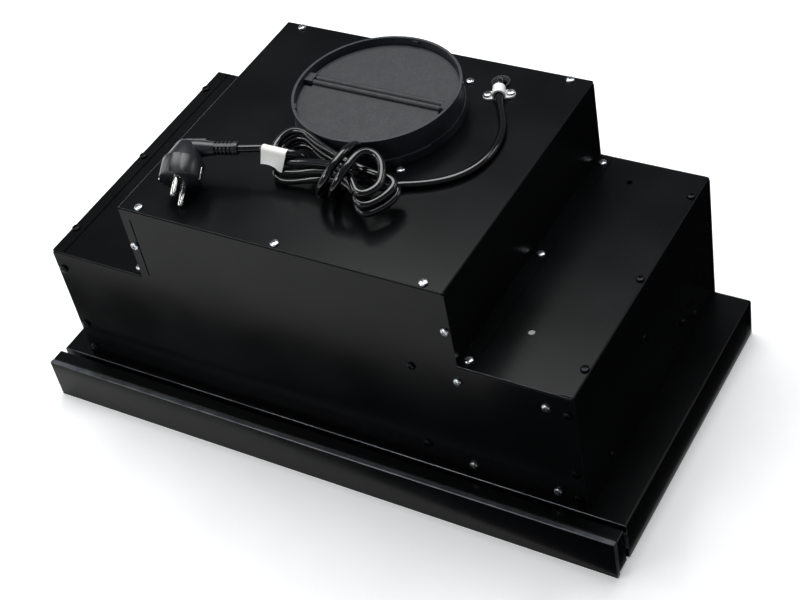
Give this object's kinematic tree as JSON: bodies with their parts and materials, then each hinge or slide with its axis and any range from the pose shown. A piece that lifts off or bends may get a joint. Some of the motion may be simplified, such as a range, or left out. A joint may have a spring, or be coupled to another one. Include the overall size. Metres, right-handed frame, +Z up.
{
  "type": "telescopic range hood",
  "caption": "Built-in telescopic range hood with a stepped black casing, round duct collar with flaps, pull-out filter tray, blower inside and a knotted mains cable with an angled plug.",
  "frame": {"origin": "on the ground below the middle of the casing, cable and plug left out", "axes": "+X to the hood's right as seen from the front, +Y to the back, +Z up; the pull-out front faces -Y"},
  "size_m": [0.598, 0.308, 0.304],
  "materials": {
    "black_powder_coat": "satin black powder coat on folded sheet steel",
    "front_plate": "satin black powder coat with a brighter ground edge",
    "collar_plastic": "moulded ABS, fine satin grain",
    "flap_plastic": "moulded plastic with a coarse grain",
    "bright_steel": "drawn steel rod",
    "grommet_rubber": "moulded black rubber",
    "white_nylon": "moulded natural nylon",
    "zinc_plated_steel": "bright zinc plating",
    "black_screw_steel": "black zinc plating",
    "filter_aluminium": "pressed aluminium",
    "inner_plastic": "moulded plastic",
    "lamp_glass": "frosted glass",
    "plunger_plastic": "moulded plastic",
    "galvanised_steel": "galvanised sheet",
    "motor_steel": "lacquered steel laminations and can",
    "capacitor_can": "drawn aluminium can",
    "cable_pvc": "extruded PVC jacket",
    "label_paper": "coated white flag label, bare",
    "plug_pvc": "moulded PVC",
    "nickel_plated_brass": "nickel-plated brass"
  },
  "bodies": {
    "casing": {"base_frame": "black_powder_coat", "filter_ledges": "black_powder_coat", "front_panel": "black_powder_coat", "rear_panel": "black_powder_coat", "side_panel_left": "black_powder_coat", "side_panel_right": "black_powder_coat", "shoulder_plate_left": "black_powder_coat", "shoulder_plate_right": "black_powder_coat", "tower_cover": "black_powder_coat", "collar_plate": "collar_plastic", "duct_collar": "collar_plastic", "flap_rods": "bright_steel", "cable_grommet": "grommet_rubber", "cable_clamp": "white_nylon", "clamp_screws": "zinc_plated_steel", "top_screws": "zinc_plated_steel", "front_screws": "zinc_plated_steel", "shoulder_screws": "zinc_plated_steel", "black_screws": "black_screw_steel", "rail_fixed_left": "zinc_plated_steel", "rail_fixed_right": "zinc_plated_steel", "filter_frame_left": "filter_aluminium", "filter_frame_right": "filter_aluminium", "filter_mesh_left": "filter_aluminium", "filter_mesh_right": "filter_aluminium", "microswitch": "inner_plastic", "scroll_shell": "galvanised_steel", "scroll_side_left": "galvanised_steel", "scroll_side_right": "galvanised_steel", "motor": "motor_steel", "motor_bracket": "galvanised_steel", "capacitor": "capacitor_can", "control_box": "inner_plastic", "cord_lead": "cable_pvc", "cord_hank": "cable_pvc", "cord_tail": "cable_pvc", "cable_label": "label_paper", "plug_body": "plug_pvc", "plug_pins": "nickel_plated_brass", "plug_earth_clips": "nickel_plated_brass"},
    "tray": {"front_beam": "black_powder_coat", "fascia_plate": "front_plate", "pullout_tray": "black_powder_coat", "rail_moving_left": "zinc_plated_steel", "rail_moving_right": "zinc_plated_steel", "tray_filter_frame": "filter_aluminium", "tray_filter_mesh": "filter_aluminium", "lamp_body_left": "inner_plastic", "lamp_body_right": "inner_plastic", "lamp_lenses": "lamp_glass", "control_plate": "inner_plastic"},
    "flap_front": {"flap_front": "flap_plastic"},
    "flap_rear": {"flap_rear": "flap_plastic"},
    "blower_wheel": {"impeller": "inner_plastic", "motor_shaft": "bright_steel"},
    "latch_left": {"filter_latch_left": "inner_plastic"},
    "latch_right": {"filter_latch_right": "inner_plastic"},
    "plunger": {"switch_plunger": "plunger_plastic"},
    "speed_knob": {"speed_slider": "inner_plastic"},
    "light_knob": {"light_slider": "inner_plastic"}
  },
  "joints": [
    {"name": "tray_slide", "type": "slide", "parent": "casing", "child": "tray", "axis": [0, -1, 0], "range_m": [0, 0.15]},
    {"name": "flap_front_hinge", "type": "hinge", "parent": "casing", "child": "flap_front", "pos_m": [0, 0.054, 0.285], "axis": [-1, 0, 0], "range_deg": [0, 80]},
    {"name": "flap_rear_hinge", "type": "hinge", "parent": "casing", "child": "flap_rear", "pos_m": [0, 0.06, 0.285], "axis": [1, 0, 0], "range_deg": [0, 80]},
    {"name": "wheel_spin", "type": "hinge", "parent": "casing", "child": "blower_wheel", "pos_m": [0, 0.02, 0.14], "axis": [1, 0, 0], "continuous": true},
    {"name": "latch_left_slide", "type": "slide", "parent": "casing", "child": "latch_left", "axis": [0, 1, 0], "range_m": [0, 0.004], "stiffness_N_per_m": 400, "springref_m": -0.004},
    {"name": "latch_right_slide", "type": "slide", "parent": "casing", "child": "latch_right", "axis": [0, 1, 0], "range_m": [0, 0.004], "stiffness_N_per_m": 400, "springref_m": -0.004},
    {"name": "plunger_slide", "type": "slide", "parent": "casing", "child": "plunger", "axis": [0, 1, 0], "range_m": [0, 0.002], "stiffness_N_per_m": 300, "springref_m": -0.001},
    {"name": "speed_slide", "type": "slide", "parent": "tray", "child": "speed_knob", "axis": [1, 0, 0], "range_m": [0, 0.024]},
    {"name": "light_slide", "type": "slide", "parent": "tray", "child": "light_knob", "axis": [1, 0, 0], "range_m": [0, 0.01]}
  ]
}
